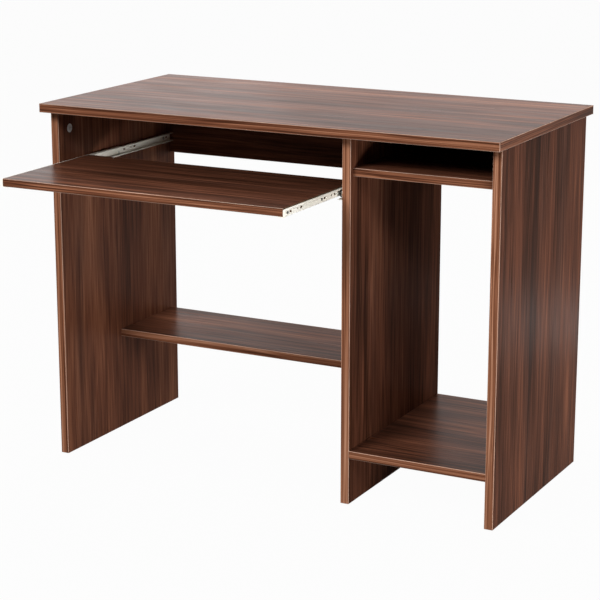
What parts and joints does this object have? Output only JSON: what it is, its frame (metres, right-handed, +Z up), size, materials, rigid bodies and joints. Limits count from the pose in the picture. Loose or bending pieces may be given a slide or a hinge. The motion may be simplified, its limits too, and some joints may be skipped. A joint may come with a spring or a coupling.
{
  "type": "computer desk",
  "caption": "Walnut-look board computer desk with a pull-out keyboard tray on roller slides, a footrest shelf, an open cubby and a low shelf for a computer.",
  "frame": {"origin": "on the floor, at the middle of the box round the desk with its tray pulled out as pictured", "axes": "+Z up, +X along the desk's width to the user's right, the user sits on the -Y side"},
  "size_m": [1, 0.682, 0.75],
  "materials": {
    "walnut_board": "satin walnut foil on chipboard",
    "walnut_edge": "printed edge band, satin",
    "cream_rail": "cream epoxy enamel",
    "roller_nylon": "moulded black nylon",
    "plated_steel": "zinc plated",
    "zinc_casting": "raw zinc casting",
    "beech_dowel": "bare fluted beech"
  },
  "bodies": {
    "desk_frame": {"back_panel": "walnut_board", "back_panel_band": "walnut_edge", "back_panel_cam_bolts": "plated_steel", "back_panel_cam_locks": "zinc_casting", "back_panel_dowels": "beech_dowel", "cabinet_rail_screws": "plated_steel", "cabinet_roller_axles": "plated_steel", "centre_partition": "walnut_board", "centre_partition_back_band": "walnut_edge", "centre_partition_front_band": "walnut_edge", "computer_cam_bolts": "plated_steel", "computer_cam_locks": "zinc_casting", "computer_dowels": "beech_dowel", "computer_shelf": "walnut_board", "computer_shelf_back_band": "walnut_edge", "computer_shelf_front_band": "walnut_edge", "cubby_cam_bolts": "plated_steel", "cubby_cam_locks": "zinc_casting", "cubby_dowels": "beech_dowel", "cubby_shelf": "walnut_board", "cubby_shelf_back_band": "walnut_edge", "cubby_shelf_front_band": "walnut_edge", "footrest_cam_bolts": "plated_steel", "footrest_cam_locks": "zinc_casting", "footrest_dowels": "beech_dowel", "footrest_shelf": "walnut_board", "footrest_shelf_back_band": "walnut_edge", "footrest_shelf_front_band": "walnut_edge", "left_cabinet_rail": "cream_rail", "left_side_panel": "walnut_board", "left_side_panel_back_band": "walnut_edge", "left_side_panel_front_band": "walnut_edge", "right_cabinet_rail": "cream_rail", "right_side_panel": "walnut_board", "right_side_panel_back_band": "walnut_edge", "right_side_panel_front_band": "walnut_edge", "top_back_band": "walnut_edge", "top_cam_bolts": "plated_steel", "top_cam_locks": "zinc_casting", "top_dowels": "beech_dowel", "top_front_band": "walnut_edge", "top_left_band": "walnut_edge", "top_panel": "walnut_board", "top_right_band": "walnut_edge"},
    "keyboard_tray_unit": {"keyboard_tray": "walnut_board", "keyboard_tray_back_band": "walnut_edge", "keyboard_tray_front_band": "walnut_edge", "left_tray_rail": "cream_rail", "right_tray_rail": "cream_rail", "tray_rail_screws": "plated_steel", "tray_roller_axles": "plated_steel"},
    "left_front_wheel": {"left_front_roller": "roller_nylon"},
    "right_front_wheel": {"right_front_roller": "roller_nylon"},
    "left_rear_wheel": {"left_rear_roller": "roller_nylon"},
    "right_rear_wheel": {"right_rear_roller": "roller_nylon"}
  },
  "joints": [
    {"name": "tray_slide", "type": "slide", "parent": "desk_frame", "child": "keyboard_tray_unit", "axis": [0, -1, 0], "range_m": [-0.214, 0.086]},
    {"name": "left_front_roller_spin", "type": "hinge", "parent": "desk_frame", "child": "left_front_wheel", "pos_m": [-0.4699, -0.115, 0.619], "axis": [1, 0, 0], "continuous": true},
    {"name": "right_front_roller_spin", "type": "hinge", "parent": "desk_frame", "child": "right_front_wheel", "pos_m": [0.1649, -0.115, 0.619], "axis": [1, 0, 0], "continuous": true},
    {"name": "left_rear_roller_spin", "type": "hinge", "parent": "keyboard_tray_unit", "child": "left_rear_wheel", "pos_m": [-0.4671, 0.073, 0.617], "axis": [1, 0, 0], "continuous": true},
    {"name": "right_rear_roller_spin", "type": "hinge", "parent": "keyboard_tray_unit", "child": "right_rear_wheel", "pos_m": [0.1621, 0.073, 0.617], "axis": [1, 0, 0], "continuous": true}
  ],
  "couplings": [
    {"joint": "left_front_roller_spin", "follows": "tray_slide", "rad_per_m": 131.58},
    {"joint": "right_front_roller_spin", "follows": "tray_slide", "rad_per_m": 131.58},
    {"joint": "left_rear_roller_spin", "follows": "tray_slide", "rad_per_m": 131.58},
    {"joint": "right_rear_roller_spin", "follows": "tray_slide", "rad_per_m": 131.58}
  ]
}
